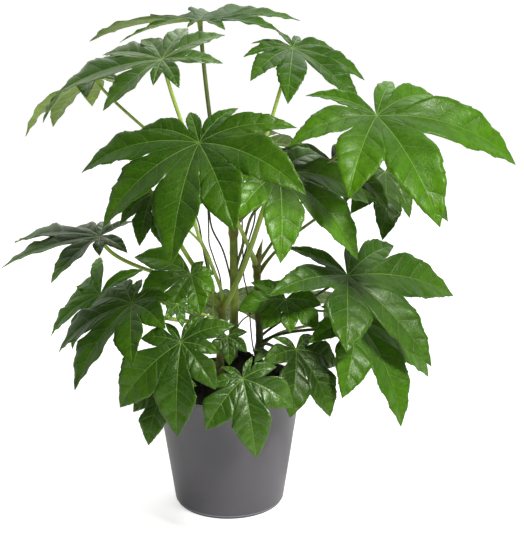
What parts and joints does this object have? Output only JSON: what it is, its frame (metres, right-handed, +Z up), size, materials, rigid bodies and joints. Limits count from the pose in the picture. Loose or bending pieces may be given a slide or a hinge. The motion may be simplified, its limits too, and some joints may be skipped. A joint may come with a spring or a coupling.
{
  "type": "potted fatsia japonica plant",
  "caption": "Bushy evergreen foliage plant with large glossy hand-shaped leaves on long stalks, growing from upright stems in a plain tapered grey pot.",
  "frame": {"origin": "centre of the pot's flat underside, where the pot's axis meets the surface it stands on", "axes": "+Z up along the pot's axis, -Y towards the viewer of the picture, +X to that viewer's right"},
  "size_m": [0.9402, 0.6762, 0.9412],
  "materials": {
    "pot": "satin",
    "soil": "matte",
    "stem": "satin",
    "leaf": "satin"
  },
  "bodies": {
    "root": {"pot": "pot", "soil": "soil", "stem_main": "stem", "stem_left": "stem", "stem_right": "stem", "leaf_crown": "leaf", "leaf_high_left": "leaf", "leaf_back_left": "leaf", "leaf_high_right": "leaf", "leaf_right_wide": "leaf", "leaf_centre_wide": "leaf", "leaf_centre_right": "leaf", "leaf_shade_right": "leaf", "leaf_back_right": "leaf", "leaf_right_low": "leaf", "leaf_right_under": "leaf", "leaf_front_right": "leaf", "leaf_front_low": "leaf", "leaf_front_left": "leaf", "leaf_left_low": "leaf", "leaf_left_back": "leaf", "leaf_left_high": "leaf", "leaf_behind_centre": "leaf", "leaf_centre_low": "leaf", "leaf_young": "leaf", "leaf_inner_right": "leaf", "leaf_inner_low": "leaf", "leaf_inner_left": "leaf", "leaf_under_left": "leaf", "leaf_back_high": "leaf", "leaf_back_low": "leaf", "leaf_back_low_right": "leaf"}
  },
  "joints": []
}
